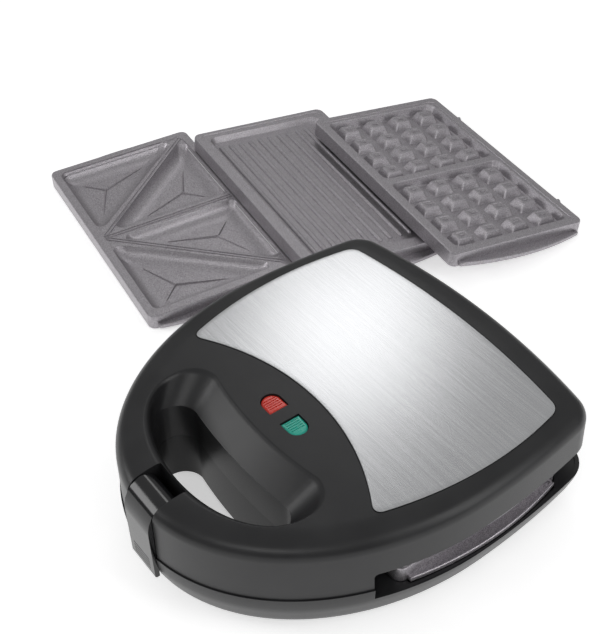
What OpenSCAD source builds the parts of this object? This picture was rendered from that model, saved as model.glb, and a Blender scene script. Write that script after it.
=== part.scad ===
// Breakfast sandwich maker with three loose cooking plates laid out behind it.
// Millimetres. +X is to the right of a person at the handle, +Y towards the hinge, +Z up.
// The table top is z = 0 and the origin is the middle of the footprint of everything that stands on it.

/* [Body outline] */
// Half width of the body at its widest line
body_half_w = 116.5; // [112:0.5:122]
// Place of the widest line along Y
widest_y = -10; // [-16:1:0]
// Distance from the widest line to the front of the handle
nose_len = 152.5; // [149:0.5:158]
// Place of the middle of the back edge along Y
back_y = 96; // [94:0.5:102]
// Radius of the bulging side
side_r = 500; // [400:10:700]
// Radius of the bulging back edge
back_r = 463; // [380:10:700]
// Radius of the two back corners
back_corner_r = 20; // [14:1:26]
// Wall thickness of the two plastic housings
wall = 3; // [2.2:0.1:3.6]

/* [Heights] */
// Height of the underside of the base above the table
base_bottom_z = 6; // [5:0.5:7]
// Height of the base's edge along the side gap
base_edge_z = 29; // [28.5:0.5:30]
// Height of the parting line round the handle
parting_z = 37; // [36:0.5:38]
// Height of the lid's edge above the side gap
lid_edge_z = 50; // [49.5:0.5:52]
// Height of the flat top of the lid
lid_top_z = 78.4; // [77:0.2:82]
// Radius of the rounded shoulder of the lid
shoulder_r = 9; // [6:0.5:11]
// How far the base flares beyond the lid
base_flare = 1.5; // [0:0.1:2.5]
// Space between the closed lid and the base where they meet
parting_gap = 0.3; // [0.2:0.05:0.8]
// Place along Y where the side gap starts
gap_front_y = -79; // [-80:0.5:-77]

/* [Handle loop] */
// Place along Y of the front rim of the opening
hole_front_y = -136; // [-136.5:0.5:-133]
// Half width of the opening at the top of the scoop
scoop_half_w = 67.5; // [62:0.5:72]
// Half width of the opening below the scoop
hole_half_w = 60; // [54:0.5:61]
// Place along Y of the scoop's top edge, at its two ends
scoop_back_y = -77; // [-79:0.5:-76]
// Place along Y of the opening's wall below the scoop, at its two ends
hole_back_y = -95; // [-98:0.5:-93]
// How deep the scoop slopes down
scoop_depth = 15; // [10:0.5:18]

/* [Steel panel] */
// Half width of the panel at its widest
panel_half_w = 102; // [96:0.5:103]
// Place along Y of the middle of the panel's back edge
panel_back_y = 74.6; // [70:0.2:76]
// Place along Y of the middle of the panel's hollow front edge
panel_front_y = -40; // [-46:0.5:-34]
// Radius of the panel's hollow front edge
panel_front_r = 155; // [140:5:170]
// Radius of the panel's bulging sides
panel_side_r = 240; // [220:10:300]
// Radius of the panel's corners
panel_corner_r = 6; // [3:0.5:9]
// Thickness of the steel sheet
panel_t = 1.2; // [0.8:0.1:1.6]
// How far the panel stands proud of the lid
panel_proud = 0.5; // [0.2:0.1:1]

/* [Cooking plates] */
// Length of a plate without its ears
plate_l = 211; // [205:0.5:213]
// Width of a plate
plate_w = 124; // [120:0.5:125]
// Depth of a plate from its rim to its underside
plate_depth = 12.5; // [11.5:0.1:13]
// Radius of a plate's corners
plate_corner_r = 6; // [4:0.5:8]
// Thickness of the plate's casting
plate_wall = 2.5; // [2:0.1:3]
// How far the ear of a plate reaches beyond its end
ear_reach = 10; // [8:0.5:10.5]
// How far the ear lies below the rim
ear_drop = 8; // [7:0.1:8.6]
// Thickness of an ear
ear_t = 2; // [1.6:0.1:2.6]
// Depth of the sandwich pockets
pocket_depth = 9.4; // [8:0.2:9.8]
// Depth of the grill tray
tray_depth = 5; // [4:0.5:7]
// Number of grill ribs
rib_count = 11; // [7:1:13]
// Depth of the waffle squares
waffle_depth = 8; // [6:0.5:9]
// Space between the two closed plates
plate_gap = 0.6; // [0.4:0.1:1]
// Height of the lower plate's rim above the table
plate_rim_z = 39.2; // [38.6:0.1:39.8]

/* [Hinge and latch] */
// Place of the hinge axis along Y
hinge_y = 90; // [89:0.5:91.5]
// Height of the hinge axis
hinge_z = 38; // [37:0.5:39]
// Radius of the hinge knuckles
knuckle_r = 7; // [5.5:0.5:7.5]
// Radius of the hinge pins
hinge_pin_r = 2.5; // [2:0.1:3]
// Running clearance of a pin in its bore
pin_clear = 0.05; // [0.03:0.01:0.09]
// Width of the latch clip
clip_w = 25.4; // [22:0.2:30]
// Space on each side of the latch clip
clip_side_gap = 0.5; // [0.4:0.1:1]
// Radius of the latch clip's rounded top
clip_top_r = 9; // [7:0.5:9.5]
// Thickness of the latch clip's tongue
clip_t = 3; // [2.4:0.1:3.4]
// Radius of the latch pin
latch_pin_r = 2; // [1.5:0.1:2.5]

/* [Feet] */
// Radius of a rubber foot
foot_r = 9; // [7:0.5:11]
// How deep a foot sits in its socket
foot_seat = 1.5; // [1:0.1:2]

/* [Loose plates] */
// Place of the loose sandwich plate's middle, from the appliance's middle, along X
sandwich_x = -283; // [-300:1:-278]
// Place of the loose sandwich plate's middle, from the appliance's middle, along Y
sandwich_y = 28; // [10:1:45]
// Turn of all three loose plates about Z
fan_turn = -8; // [-10:0.5:-6]
// How far the grill plate is shifted along the plates' length
grill_shift = 30; // [20:1:40]
// How far the waffle plate is shifted along the plates' length
waffle_shift = 37; // [25:1:45]
// How much the grill plate overlaps the sandwich plate
grill_overlap = 7; // [4:0.5:7.5]
// How much the waffle plate overlaps the grill plate
waffle_overlap = 28; // [20:1:34]
// Space left between pieces that rest on each other
rest_gap = 0.3; // [0.2:0.05:0.4]

/* [Hidden] */
big = 600;
cut = 1;
skin_d = wall + 0.2;
crown = 1;
crown_inset = 18;
cover_t = 2;
cover_inset = 14.5;
cover_seat = 1.5;

// Plan outline of the body, inset by d
function arc(c, rx, ry, a0, a1, n) = [for (i = [0 : n - 1])
    let (a = a0 + (a1 - a0) * i / n) c + [rx * cos(a), ry * sin(a)]];
function circles_meet(c1, r1, c2, r2) = let (
    v = c2 - c1, l = norm(v), a = (l * l + r1 * r1 - r2 * r2) / (2 * l), h = sqrt(r1 * r1 - a * a))
    c1 + v * a / l + [-v[1], v[0]] * h / l;
function mirrored(p) = [for (i = [len(p) - 1 : -1 : 0]) [-p[i][0], p[i][1]]];
side_c = [body_half_w - side_r, widest_y];
back_c = [0, back_y - back_r];
corner_c = circles_meet(side_c, side_r - back_corner_r, back_c, back_r - back_corner_r);
corner_a0 = atan2(corner_c[1] - side_c[1], corner_c[0] - side_c[0]);
corner_a1 = atan2(corner_c[1] - back_c[1], corner_c[0] - back_c[0]);
function right_back(d) = concat(
    arc(side_c, side_r - d, side_r - d, 0, corner_a0, 5),
    arc(corner_c, back_corner_r - d, back_corner_r - d, corner_a0, corner_a1, 6),
    arc(back_c, back_r - d, back_r - d, corner_a1, 90, 4));
function outline(d) = concat(
    arc([0, widest_y], body_half_w - d, nose_len - d, 180, 360, 30),
    right_back(d), [[0, back_y - d]],
    [for (p = mirrored(right_back(d))) if (p[1] > widest_y + cut) p]);

// Outline of the handle's opening, with the half width a, centre line cy and back edge by
function opening(a, cy, by, rc, sag, grow = 0) = let (
    w = a + grow, f = cy - hole_front_y + grow, b = by + grow, x = w - rc) concat(
    arc([0, cy], w, f, 180, 360, 24),
    arc([x, b - rc], rc, rc, 0, 90, 6),
    [for (i = [0 : 9]) let (u = 1 - i / 5) [x * u, b - sag * (1 - u * u)]],
    arc([-x, b - rc], rc, rc, 90, 180, 6));
scoop_rc = 18;
hole_rc = 14;
hole_cy = -110;
scoop_cy = -97;
scoop_sag = 5;
hole_sag = 3;
function scoop_ring(grow = 0) = opening(scoop_half_w, scoop_cy, scoop_back_y, scoop_rc, scoop_sag, grow);
function hole_ring(grow = 0) = opening(hole_half_w, hole_cy, hole_back_y, hole_rc, hole_sag, grow);

// A solid through rings of equally many points, each given as [points, z]
module skin(rings) {
    n = len(rings[0][0]);
    m = len(rings);
    rising = rings[m - 1][1] > rings[0][1];
    pts = [for (k = [0 : m - 1]) let (r = rings[rising ? k : m - 1 - k]) for (p = r[0]) [p[0], p[1], r[1]]];
    sides = [for (k = [0 : m - 2]) for (i = [0 : n - 1]) let (j = (i + 1) % n, a = k * n, b = a + n)
        each [[a + i, b + i, b + j], [a + i, b + j, a + j]]];
    polyhedron(pts, concat([[for (i = [0 : n - 1]) i]], sides,
        [[for (i = [n - 1 : -1 : 0]) (m - 1) * n + i]]), convexity = 10);
}
module prism(points, z0, z1) translate([0, 0, z0]) linear_extrude(z1 - z0) polygon(points);
module slab(x0, x1, y0, y1, z0, z1) translate([x0, y0, z0]) cube([x1 - x0, y1 - y0, z1 - z0]);
module in_front(y) intersection() { children(); slab(-big, big, -big, y, -big, big); }
module behind(y) intersection() { children(); slab(-big, big, y, big, -big, big); }
module both_sides() { children(); mirror([1, 0, 0]) children(); }
module across(x0, x1, y, z, r) translate([x0, y, z]) rotate([0, 90, 0]) cylinder(r = r, h = x1 - x0, $fn = 48);
module upright(x, y, z0, z1, r) translate([x, y, z0]) cylinder(r = r, h = z1 - z0, $fn = 48);
// Flips a piece of the lower half into its twin in the lid, about the plane between the plates
mirror_z = plate_rim_z + plate_gap / 2;
module upper_twin() translate([0, 0, 2 * mirror_z]) mirror([0, 0, 1]) children();

// The loose plates: each one lies with its left edge on the one before it
depth_up = plate_depth + rest_gap;
grill_tilt = asin(depth_up / (plate_w - grill_overlap));
grill_edge_z = plate_depth * cos(grill_tilt);
waffle_tilt = asin((grill_edge_z + rest_gap) / (plate_w - waffle_overlap));
function turned(v) = [v[0] * cos(fan_turn) - v[1] * sin(fan_turn), v[0] * sin(fan_turn) + v[1] * cos(fan_turn)];
sandwich_c = [sandwich_x, sandwich_y];
grill_c = sandwich_c + turned([grill_shift, plate_w - grill_overlap]);
waffle_c = grill_c + turned([waffle_shift, plate_w - waffle_overlap]);
// Middle of the footprint, which is the origin
ear_end = plate_l / 2 + ear_reach;
foot_x0 = sandwich_c[0] + turned([-ear_end, 0])[0] - 2.5;
foot_y1 = waffle_c[1] + turned([-plate_l / 2 + plate_corner_r, plate_w / 2])[1] + 0.7;
bench = [-(foot_x0 + body_half_w + base_flare) / 2, -(foot_y1 + widest_y - nose_len - base_flare) / 2];
module stand() translate([bench[0], bench[1], 0]) children();
module lay(c, tilt) stand() translate([c[0], c[1], 0]) rotate([0, 0, fan_turn])
    translate([0, plate_w / 2, 0]) rotate([-tilt, 0, 0]) translate([0, -plate_w / 2, plate_depth]) children();

// Cooking plate blanks, in a frame with the rim at z = 0 and the length along X
module rounded_box(l, w, r, z0, z1) prism(concat(
    arc([l / 2 - r, w / 2 - r], r, r, 0, 90, 5), arc([r - l / 2, w / 2 - r], r, r, 90, 180, 5),
    arc([r - l / 2, r - w / 2], r, r, 180, 270, 5), arc([l / 2 - r, r - w / 2], r, r, 270, 360, 5)), z0, z1);
function box_ring(l, w, r) = concat(
    arc([l / 2 - r, w / 2 - r], r, r, 0, 90, 4), [[l / 2 - r, w / 2]],
    arc([r - l / 2, w / 2 - r], r, r, 90, 180, 4), [[-l / 2, w / 2 - r]],
    arc([r - l / 2, r - w / 2], r, r, 180, 270, 4), [[r - l / 2, -w / 2]],
    arc([l / 2 - r, r - w / 2], r, r, 270, 360, 4), [[l / 2, r - w / 2]]);
rim_t = 3;
ear_end_w = 3;
ear_lip = 1;
body_inset = 8;
function ear_points(grow) = let (half = plate_w / 2 - plate_corner_r + grow, s = ear_reach - ear_end_w,
    r = (half * half + s * s) / (2 * s), x0 = plate_l / 2, a = asin(half / r)) concat(
    [[x0 - plate_wall, -half], [x0, -half]],
    [for (i = [0 : 12]) let (t = -a + 2 * a * i / 12) [x0 + ear_end_w + grow + s - r + r * cos(t), r * sin(t)]],
    [[x0, half], [x0 - plate_wall, half]]);
module ears() both_sides() difference() {
    prism(ear_points(0), -ear_drop - ear_t, -ear_drop + ear_lip);
    intersection() {
        prism(ear_points(-1.6), -ear_drop, cut);
        slab(plate_l / 2, big, -big, big, -big, big);
    }
}
module plate_blank() {
    difference() {
        union() {
            rounded_box(plate_l, plate_w, plate_corner_r, -plate_depth, 0);
            ears();
        }
        difference() {
            rounded_box(plate_l - 2 * plate_wall, plate_w - 2 * plate_wall, plate_corner_r - plate_wall,
                -plate_depth - cut, -rim_t);
            rounded_box(plate_l - 2 * body_inset, plate_w - 2 * body_inset, plate_corner_r,
                -plate_depth - 2 * cut, -rim_t + cut);
        }
    }
}

// Sandwich plate: four triangular pockets, two in each square
tri_margin = 7;
tri_r = 5;
land_drop = 0.8;
function unit(v) = v / norm(v);
function incentre(t) = let (a = norm(t[1] - t[2]), b = norm(t[2] - t[0]), c = norm(t[0] - t[1]))
    (t[0] * a + t[1] * b + t[2] * c) / (a + b + c);
function cross2(u, v) = u[0] * v[1] - u[1] * v[0];
function inradius(t) = let (e = t[1] - t[0], c = incentre(t)) abs(cross2(e, c - t[0])) / norm(e);
function tri_ring(t, d, r) = let (c = incentre(t), k = 1 - (d + r) / inradius(t)) [
    for (i = [0 : 2]) let (p = t[i], q = unit(p - t[(i + 2) % 3]), s = unit(t[(i + 1) % 3] - p),
        a0 = atan2(-q[0], q[1]), a1 = atan2(-s[0], s[1]), sweep = (a1 - a0 + 720) % 360)
        for (j = [0 : 5]) let (a = a0 + sweep * j / 5) c + (p - c) * k + r * [cos(a), sin(a)]];
module pocket(t) skin([[tri_ring(t, 3.2, tri_r), cut], [tri_ring(t, 3.2, tri_r), -land_drop],
    [tri_ring(t, 4.4, tri_r), -pocket_depth * 0.4], [tri_ring(t, 7.2, tri_r), -pocket_depth * 0.78],
    [tri_ring(t, 12, tri_r * 0.6), -pocket_depth]]);
sq_w = plate_w / 2 - tri_margin + 3;
sq_l = plate_l / 2 - tri_margin + 3;
sq_in = 2;
function upper_tri() = [[sq_l, sq_w], [sq_in, -sq_w], [sq_l, -sq_w]];
function lower_tri() = [[sq_l, sq_w], [sq_in, sq_w], [sq_in, -sq_w]];
function clockwise(t) = cross2(t[1] - t[0], t[2] - t[0]) < 0;
function wound(t) = clockwise(t) ? [t[2], t[1], t[0]] : t;
function far(t) = [for (p = t) [-p[0], p[1]]];
sandwich_tris = [wound(upper_tri()), wound(lower_tri()), wound(far(upper_tri())), wound(far(lower_tri()))];
crease_h = 1.6;
module crease(t) {
    c = incentre(t);
    for (p = t) {
        v = p - c;
        translate([c[0], c[1], -pocket_depth]) rotate([0, 0, atan2(v[1], v[0])])
            rotate([90, 0, 90]) linear_extrude(norm(v) * 0.36) polygon([[-1.3, -0.2], [1.3, -0.2], [0, crease_h]]);
    }
}
module ridge(a, b) {
    v = b - a;
    translate([a[0], a[1], -land_drop - 0.2]) rotate([0, 0, atan2(v[1], v[0])])
        for (s = [-1.5, 1.5]) translate([0, s - 0.7, 0]) cube([norm(v), 1.4, 0.8]);
}
module sandwich_plate() {
    difference() {
        plate_blank();
        rounded_box(plate_l - 2 * tri_margin, plate_w - 2 * tri_margin, plate_corner_r, -land_drop, cut);
        for (t = sandwich_tris) pocket(t);
    }
    for (t = sandwich_tris) crease(t);
    intersection() {
        union() {
            ridge([sq_l, sq_w], [0, -sq_w]);
            ridge([0, -sq_w], [-sq_l, sq_w]);
            ridge([0, -sq_w], [0, sq_w]);
        }
        rounded_box(plate_l - 2 * tri_margin, plate_w - 2 * tri_margin, plate_corner_r, -rim_t, cut);
    }
}
// Grill plate: a shallow tray with ribs along its length
tray_inset = 10;
rib_r = 1.7;
rib_pitch = (plate_w - 2 * tray_inset - 4) / rib_count;
rib_len = plate_l - 2 * tray_inset - 24;
module tray(l, w, depth, slope) skin([[box_ring(l, w, 6), cut], [box_ring(l, w, 6), 0],
    [box_ring(l - 2 * slope, w - 2 * slope, 4), -depth]]);
module grill_plate() {
    difference() {
        plate_blank();
        tray(plate_l - 2 * tray_inset, plate_w - 2 * tray_inset, tray_depth, 4);
        // Hollow underside
        rounded_box(plate_l - 2 * body_inset - 2 * rim_t, plate_w - 2 * body_inset - 2 * rim_t, plate_corner_r,
            -plate_depth - cut, -tray_depth - plate_wall);
    }
    for (i = [0 : rib_count - 1]) translate([-rib_len / 2, (i - (rib_count - 1) / 2) * rib_pitch, -tray_depth + 0.3]) {
        rotate([0, 90, 0]) cylinder(r = rib_r, h = rib_len, $fn = 24);
        sphere(r = rib_r, $fn = 24);
        translate([rib_len, 0, 0]) sphere(r = rib_r, $fn = 24);
    }
}
// Waffle plate: two squares of pyramids with flat tops
waffle_margin = 9;
waffle_bar = 7;
waffle_l = (plate_l - 2 * waffle_margin - waffle_bar) / 2;
waffle_w = plate_w - 2 * waffle_margin;
waffle_rows = 4;
peg_l = 17;
peg_w = 19;
peg_top = 0.62;
module peg() {
    linear_extrude(waffle_depth - 0.6, scale = peg_top) square([peg_l, peg_w], center = true);
    translate([0, 0, waffle_depth - 0.8]) cylinder(r1 = 1.6, r2 = 0.4, h = 1.2, $fn = 16);
}
module waffle_plate() {
    difference() {
        plate_blank();
        translate([0, 0, -0.8]) rounded_box(plate_l - 12, plate_w - 12, 4, 0, cut);
        for (s = [-1, 1]) translate([s * (waffle_l + waffle_bar) / 2, 0, 0]) tray(waffle_l, waffle_w, waffle_depth, 3);
    }
    for (s = [-1, 1], i = [0 : waffle_rows - 1], j = [0 : waffle_rows - 1])
        translate([s * (waffle_l + waffle_bar) / 2 + (i - 1.5) * (waffle_l - 3) / waffle_rows,
            (j - 1.5) * (waffle_w - 3) / waffle_rows, -waffle_depth]) peg();
}
// Two ribbed studs on a long side, which hook into the housing
stud_x = 70;
stud_r = 2.6;
stud_len = 4.6;
module studs(side) for (x = [-stud_x, stud_x]) translate([x, side * plate_w / 2, -5.5]) rotate([-90 * side, 0, 0]) {
    cylinder(r = stud_r - 0.7, h = stud_len, $fn = 32);
    for (k = [0 : 2]) translate([0, 0, 0.9 + k * 1.4]) cylinder(r = stud_r, h = 0.8, $fn = 32);
}

// Base, whose hull draws in towards the table: pairs of inset and height above the underside
hull = [[12, 0], [9, 1], [6.5, 2.5], [4.2, 6], [1.8, 13], [-0.2, 19], [-0.7 * base_flare, 23]];
hull_room = [[10.5, 2.6], [7.6, 6], [5.2, 13], [4, 20]];
module base_room(z1) intersection() {
    skin(concat([for (s = hull_room) [outline(s[0]), base_bottom_z + s[1]]], [[outline(wall), parting_z + 10]]));
    slab(-big, big, -big, big, 0, z1);
}
module base_shell() difference() {
    skin(concat([for (s = hull) [outline(s[0]), base_bottom_z + s[1]]], [[outline(-base_flare), parting_z]]));
    behind(gap_front_y) prism(outline(-20), base_edge_z, parting_z + 20);
    skin([[hole_ring(-2), base_bottom_z - cut], [hole_ring(0), parting_z + cut]]);
}
deck_t = 3;
floor_t = 2.6;
window_gap = 0.6;
post_r = 5;
post_x = 78;
post_y = 42;
pan_floor_z = 12;
pan_t = 0.8;
pan_top_z = plate_rim_z - plate_depth - 0.3;
foot_places = [[80, -62], [84, 60]];
module foot_spots() for (p = foot_places, s = [-1, 1]) translate([s * p[0], p[1], 0]) children();
lug_x0 = 52;
lug_x1 = 60;
lug_gap = 0.4;
knuckle_x0 = 41;
gland_z = 17;
gland_r = 6;
flange_gap = 0.05;
boss_y = back_y + 0.4;
boss_half_w = 11;
notch_w = clip_w / 2 + clip_side_gap;
nose_y = widest_y - nose_len;
slot_back_y = nose_y + 24;
clip_foot_z = 20;
tongue_out = nose_y - base_flare - 1;
tongue_in = tongue_out + clip_t;
catch_y = tongue_in + 0.6 + rest_gap;
slide_w = 26;
slide_y0 = gap_front_y + 1;
slide_y1 = gap_front_y - 7;
slide_travel = 3;
slide_t = 1.8;
cover_back_y = -104;
module window() {
    slab(-plate_l / 2 - window_gap, plate_l / 2 + window_gap, -plate_w / 2 - window_gap, plate_w / 2 + window_gap,
        base_edge_z - deck_t - cut, parting_z + cut);
    both_sides() prism(ear_points(window_gap), base_edge_z - deck_t - cut, parting_z + cut);
    for (x = [-stud_x, stud_x]) slab(x - stud_r - 0.6, x + stud_r + 0.6, 0, plate_w / 2 + stud_len + 0.8,
        base_edge_z - deck_t - cut, parting_z);
}
module base_cavities() {
    // Cavity under the plates
    behind(gap_front_y + wall) base_room(base_edge_z - deck_t);
    // Cavity of the front deck and the handle, round the opening
    difference() {
        in_front(gap_front_y) base_room(parting_z - deck_t);
        prism(hole_ring(wall), -cut, big);
        slab(-notch_w - wall, notch_w + wall, nose_y - 10, slot_back_y + 0.5, -cut, big);
        slab(-big, big, -big, big, -big, base_bottom_z + floor_t + 4);
    }
    // The handle's underside is open above its cover
    difference() {
        union() {
            in_front(cover_back_y) prism(outline(cover_inset), base_bottom_z - cut, base_bottom_z + cover_t);
            in_front(cover_back_y - cover_seat)
                prism(outline(cover_inset + cover_seat), base_bottom_z, base_bottom_z + floor_t + 5);
        }
        prism(hole_ring(wall), 0, big);
        slab(-notch_w - wall, notch_w + wall, nose_y - 10, slot_back_y + 0.5, 0, big);
    }
}
module base_housing() color("#1d1d1e") stand() {
    difference() {
        union() {
            difference() {
                base_shell();
                base_cavities();
                window();
            }
            for (x = [-post_x, post_x], y = [-post_y, post_y]) upright(x, y, base_bottom_z + 1, pan_floor_z, post_r);
            // Flat boss under the cord gland
            slab(-boss_half_w, boss_half_w, back_y - 9, boss_y, gland_z - 8.2, gland_z + 8.2);
            both_sides() {
                across(lug_x0, lug_x1, hinge_y, hinge_z, knuckle_r);
                slab(lug_x0, lug_x1, hinge_y - knuckle_r, hinge_y + 3, base_edge_z - deck_t, hinge_z);
            }
        }
        both_sides() across(lug_x0 - cut, lug_x1 + cut, hinge_y, hinge_z, hinge_pin_r);
        foot_spots() upright(0, 0, base_bottom_z - cut, base_bottom_z + foot_seat, foot_r - 1);
        // Cord entry
        translate([0, back_y - 8, gland_z]) rotate([-90, 0, 0]) cylinder(r = gland_r, h = 20, $fn = 48);
        // Recess of the latch clip
        slab(-notch_w, notch_w, nose_y - 10, catch_y, base_bottom_z - cut, parting_z + cut);
        // Recess of the plate release
        slab(-slide_w / 2 - 0.4, slide_w / 2 + 0.4, slide_y1 - slide_travel - 0.4, slide_y0 + 20,
            parting_z - slide_t - 0.4, parting_z + cut);
    }
}
module release_slide(z1) slab(-slide_w / 2, slide_w / 2, slide_y1, -plate_w / 2 - 0.4, z1 - slide_t, z1);
module lower_release_slide() color("#2a2a2c") stand() {
    release_slide(parting_z - 0.1);
    for (k = [0 : 3]) slab(-slide_w / 2 + 4, slide_w / 2 - 4, slide_y1 + 1 + k * 2, slide_y1 + 2 + k * 2,
        parting_z - 0.5, parting_z);
}
module lower_handle_cover() color("#1a1a1b") stand() difference() {
    in_front(cover_back_y - rest_gap) prism(outline(cover_inset + rest_gap), base_bottom_z, base_bottom_z + cover_t);
    prism(hole_ring(wall + rest_gap), 0, big);
    slab(-notch_w - wall - rest_gap, notch_w + wall + rest_gap, nose_y - 10, slot_back_y + 0.8, 0, big);
}

// Lid
shoulder_z = lid_top_z - shoulder_r - crown;
module lid_shell() difference() {
    skin(concat([[outline(-0.6), parting_z + parting_gap], [outline(0), shoulder_z]],
        [for (a = [22.5, 45, 67.5, 85]) [outline(shoulder_r * (1 - cos(a))), shoulder_z + shoulder_r * sin(a)]],
        [[outline(crown_inset), lid_top_z]]));
    behind(gap_front_y) prism(outline(-20), 0, lid_edge_z);
    skin([[hole_ring(-0.5), 0], [hole_ring(0), lid_top_z - scoop_depth], [hole_ring(0.6), lid_top_z - scoop_depth + 0.6],
        [[for (i = [0 : len(hole_ring()) - 1]) (hole_ring()[i] * 0.45 + scoop_ring()[i] * 0.55)], lid_top_z - scoop_depth * 0.36],
        [scoop_ring(0), lid_top_z - 0.5], [scoop_ring(2), lid_top_z + 4]]);
}
panel_floor = lid_top_z + panel_proud - panel_t;
panel_gap = 0.5;
module panel_outline(d) {
    side = [panel_half_w - panel_side_r, 9];
    offset(r = panel_corner_r, $fn = 40) offset(delta = -panel_corner_r - d) difference() {
        intersection() {
            translate(side) circle(r = panel_side_r, $fn = 180);
            translate([-side[0], side[1]]) circle(r = panel_side_r, $fn = 180);
            translate([0, panel_back_y - 520]) circle(r = 520, $fn = 240);
        }
        translate([0, panel_front_y - panel_front_r]) circle(r = panel_front_r, $fn = 180);
        translate([0, panel_front_y - 250 - 32]) square([500, 500], center = true);
    }
}
lens_x = 11;
lens_y = -62;
lens_w = 12;
lens_d = 13;
lens_sink = 0.8;
lens_t = 6;
module lens_outline(grow) {
    // Flat side towards the middle, rounded end outwards
    intersection() {
        union() {
            translate([lens_w / 2 - lens_d / 2 + 2, 0]) circle(r = lens_d / 2 + grow, $fn = 64);
            translate([-lens_w / 2 - grow, -lens_d / 2 - grow])
                square([lens_w - lens_d / 2 + 2 + grow, lens_d + 2 * grow]);
        }
        translate([-lens_w / 2 - grow, -lens_d]) square([lens_w * 2, lens_d * 2]);
    }
}
module at_lens(side) translate([side * lens_x, lens_y, 0]) mirror([side < 0 ? 1 : 0, 0, 0]) children();
latch_y = nose_y + clip_top_r + 2;
latch_z = lid_top_z - clip_top_r - 1.5;
cheek_t = 4;
lid_roof = 4.4;
module lid_cavities() {
    behind(gap_front_y + wall) prism(outline(skin_d), 0, lid_top_z - shoulder_r - 2);
    behind(gap_front_y + wall) prism(outline(shoulder_r + 1), 0, lid_top_z - lid_roof);
    difference() {
        union() {
            in_front(gap_front_y) prism(outline(skin_d), 0, lid_top_z - scoop_depth - wall);
            in_front(gap_front_y) difference() {
                prism(outline(shoulder_r + 1), 0, lid_top_z - lid_roof);
                prism(scoop_ring(wall), 0, big);
            }
        }
        prism(hole_ring(wall), 0, big);
        slab(-notch_w - cheek_t, notch_w + cheek_t, nose_y - 10, slot_back_y + wall, 0, big);
    }
}
upper_window_z = 2 * mirror_z - base_edge_z;
module lid_deck() difference() {
    // Inner deck of the lid round the upper plate, behind the handle
    intersection() {
        prism(outline(skin_d), upper_window_z, upper_window_z + deck_t);
        slab(-big, big, gap_front_y, hinge_y - 14, 0, big);
    }
    upper_twin() window();
}
module front_deck() difference() {
    intersection() {
        prism(outline(skin_d), parting_z + parting_gap, parting_z + parting_gap + deck_t);
        slab(-big, big, -102, gap_front_y, 0, big);
    }
    prism(hole_ring(wall - 0.4), 0, big);
}
module lid_housing() color("#232324") stand() difference() {
    union() {
        difference() {
            lid_shell();
            lid_cavities();
        }
        lid_deck();
        front_deck();
        // Wall between the two decks
        intersection() {
            prism(outline(skin_d), parting_z + parting_gap, upper_window_z + deck_t);
            slab(-big, big, gap_front_y - wall + 0.2, gap_front_y, 0, big);
        }
        // Posts of the upper reflector
        for (x = [-post_x, post_x], y = [-post_y, post_y])
            upright(x, y, 2 * mirror_z - pan_floor_z, lid_top_z - lid_roof + 0.4, post_r);
        both_sides() {
            across(knuckle_x0, lug_x0 - lug_gap, hinge_y, hinge_z, knuckle_r);
            slab(knuckle_x0, lug_x0 - lug_gap, hinge_y - 4, hinge_y + 3.6, hinge_z, lid_top_z - 6);
        }
    }
    both_sides() across(knuckle_x0 - cut, lug_x0, hinge_y, hinge_z, hinge_pin_r + pin_clear);
    translate([0, 0, panel_floor]) linear_extrude(10) panel_outline(-panel_gap);
    for (s = [-1, 1]) at_lens(s) translate([0, 0, lid_top_z - 8]) linear_extrude(20) lens_outline(0.3);
    slab(-notch_w, notch_w, nose_y - 10, slot_back_y, 0, big);
    across(-notch_w - cheek_t - cut, notch_w + cheek_t + cut, latch_y, latch_z, latch_pin_r);
    slab(-slide_w / 2 - 0.4, slide_w / 2 + 0.4, slide_y1 - slide_travel - 0.4, gap_front_y + 0.4,
        parting_z, parting_z + parting_gap + slide_t + 0.4);
}
module upper_release_slide() color("#2a2a2c") stand() {
    release_slide(parting_z + parting_gap + slide_t + 0.1);
}
module top_panel() color("#c9cbcd") stand() translate([0, 0, panel_floor]) linear_extrude(panel_t) panel_outline(0);
module red_lens() color("#d8402c") stand() at_lens(-1)
    translate([0, 0, lid_top_z - lens_t]) linear_extrude(lens_t - lens_sink) lens_outline(0);
module green_lens() color("#22a384") stand() at_lens(1)
    translate([0, 0, lid_top_z - lens_t]) linear_extrude(lens_t - lens_sink) lens_outline(0);
lamp_r = 2.2;
lamp_half_l = 6.5;
lamp_z = lid_top_z - lens_t - 4.2;
holder_half_l = lens_x + lamp_half_l + 1.5;
module lamps() for (s = [-1, 1]) across(s * lens_x - lamp_half_l, s * lens_x + lamp_half_l, lens_y, lamp_z, lamp_r);
module indicator_lamps() color("#e7b79a") stand() lamps();
module lamp_holder() color("#d9d6c8") stand() difference() {
    slab(-holder_half_l, holder_half_l, gap_front_y + wall, lens_y + lamp_r + 0.5, lamp_z - lamp_r - 1.2,
        lid_top_z - lens_t - 0.2);
    lamps();
    for (s = [-1, 1]) slab(s * lens_x - lamp_half_l, s * lens_x + lamp_half_l, lens_y - 1.4, lens_y + 1.4, lamp_z, big);
}
module upper_handle_cover() color("#1a1a1b") stand() difference() {
    in_front(-102.4) prism(outline(skin_d + 0.3), parting_z + parting_gap, parting_z + parting_gap + cover_t);
    prism(hole_ring(wall + 0.4), 0, big);
    slab(-notch_w - cheek_t - 0.4, notch_w + cheek_t + 0.4, nose_y - 10, slot_back_y + wall + 0.4, 0, big);
}

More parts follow.
